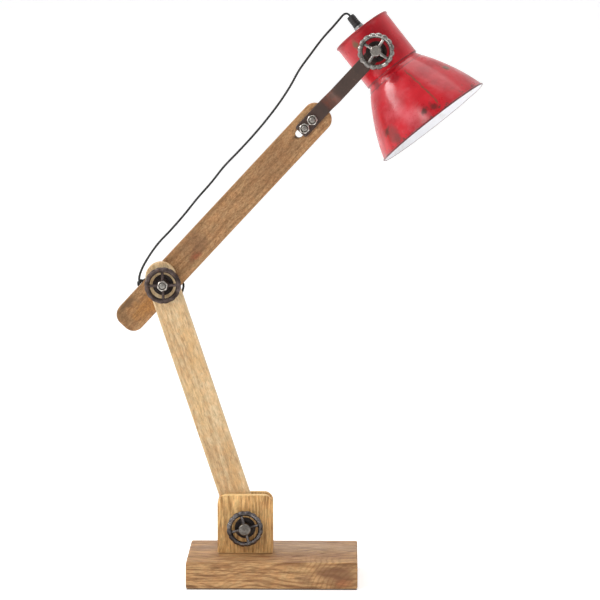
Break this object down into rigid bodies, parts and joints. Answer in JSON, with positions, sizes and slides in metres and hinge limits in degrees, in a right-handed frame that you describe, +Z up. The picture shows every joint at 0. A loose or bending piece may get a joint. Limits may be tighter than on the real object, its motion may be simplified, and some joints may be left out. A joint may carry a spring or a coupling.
{
  "type": "desk lamp",
  "caption": "Architect desk lamp with wooden block base, two flat wooden arms clamped by handwheels, and a red bell shade on a bent iron strap.",
  "frame": {"origin": "middle of the felt pad under the base, on the surface the lamp stands on", "axes": "+Z up, +X towards the shade along the base's length, -Y towards the handwheels"},
  "size_m": [0.5761, 0.2875, 0.8967],
  "materials": {
    "base_wood": "matt, sawn grain",
    "cheek_wood": "matt, sawn grain",
    "lower_arm_wood": "matt, pale",
    "upper_arm_wood": "matt, mid brown",
    "felt": "felt",
    "gunmetal": "worn, dark",
    "pewter": "worn, bright edges",
    "steel": "satin",
    "rusted_iron": "dark, lightly rusted",
    "red_paint": "gloss, distressed",
    "brass": "satin",
    "black_plastic": "satin",
    "black_cord": "matt",
    "frosted_glass": "frosted white"
  },
  "bodies": {
    "base": {"base_block": "base_wood", "base_bolt": "steel", "base_cord_clip": "black_plastic", "base_felt_pad": "felt", "base_front_washer": "gunmetal", "base_rear_washer": "steel", "cheek_front": "cheek_wood", "cheek_rear": "cheek_wood", "cheek_screw_1": "steel", "cheek_screw_2": "steel", "cheek_screw_3": "steel", "cheek_screw_4": "steel", "cord_coil": "black_cord", "cord_plug_run": "black_cord", "cord_switch_run": "black_cord", "cord_table_run": "black_cord", "cord_tie": "black_plastic", "plug_body": "black_plastic", "plug_pin_1": "brass", "plug_pin_2": "brass", "switch_body": "black_plastic"},
    "lower_arm": {"lower_arm": "lower_arm_wood", "arm_cord_clip_1": "black_plastic", "arm_cord_clip_2": "black_plastic", "arm_cord_clip_3": "black_plastic", "cord_arm_run": "black_cord", "cord_base_drop": "black_cord"},
    "upper_arm": {"upper_arm": "upper_arm_wood", "head_strap": "rusted_iron", "strap_nut_1": "steel", "strap_nut_2": "steel", "strap_bolt_1": "steel", "strap_bolt_2": "steel", "elbow_front_washer": "gunmetal", "elbow_spacer_washer": "gunmetal", "elbow_rear_washer": "steel", "elbow_bolt": "steel", "elbow_cord_clip": "black_plastic", "cord_elbow_loop": "black_cord", "head_front_washer": "gunmetal", "cord_head_span": "black_cord"},
    "head": {"bulb_cap": "steel", "bulb_glass": "frosted_glass", "cap_shell": "red_paint", "cord_gland": "black_plastic", "gland_collar": "steel", "head_inner_nut": "steel", "head_saddle": "rusted_iron", "holder_lock_nut": "brass", "holder_nipple": "brass", "lamp_holder": "black_plastic", "shade_shell": "red_paint"},
    "base_wheel": {"base_handwheel": "gunmetal", "base_wheel_cap_nut": "pewter"},
    "elbow_wheel": {"elbow_handwheel": "gunmetal", "elbow_wheel_nut": "pewter"},
    "head_wheel": {"head_handwheel": "pewter", "head_bolt": "pewter"},
    "rocker": {"switch_rocker": "black_plastic"}
  },
  "joints": [
    {"name": "base_tilt", "type": "hinge", "parent": "base", "child": "lower_arm", "pos_m": [-0.0435, 0, 0.085], "axis": [0, -1, 0], "range_deg": [-45, 45], "deforming": ["cord_base_drop"]},
    {"name": "elbow_tilt", "type": "hinge", "parent": "lower_arm", "child": "upper_arm", "pos_m": [-0.17201, 0, 0.46907], "axis": [0, -1, 0], "range_deg": [-50, 30], "deforming": ["cord_elbow_loop"]},
    {"name": "head_tilt", "type": "hinge", "parent": "upper_arm", "child": "head", "pos_m": [0.16206, -0.0223, 0.83465], "axis": [-0.0891, -0.9925, 0.0831], "range_deg": [-30, 75], "deforming": ["cord_head_span"]},
    {"name": "base_wheel_turn", "type": "hinge", "parent": "base", "child": "base_wheel", "pos_m": [-0.0435, -0.03, 0.085], "axis": [0, -1, 0], "continuous": true},
    {"name": "elbow_wheel_turn", "type": "hinge", "parent": "upper_arm", "child": "elbow_wheel", "pos_m": [-0.17201, -0.02, 0.46907], "axis": [0, -1, 0], "continuous": true},
    {"name": "head_wheel_turn", "type": "hinge", "parent": "upper_arm", "child": "head_wheel", "pos_m": [0.16206, -0.0223, 0.83465], "axis": [-0.0891, -0.9925, 0.0831], "continuous": true},
    {"name": "switch_rock", "type": "hinge", "parent": "base", "child": "rocker", "pos_m": [0.002, 0.128, 0.0138], "axis": [0, -1, 0], "range_deg": [-14, 0]}
  ]
}
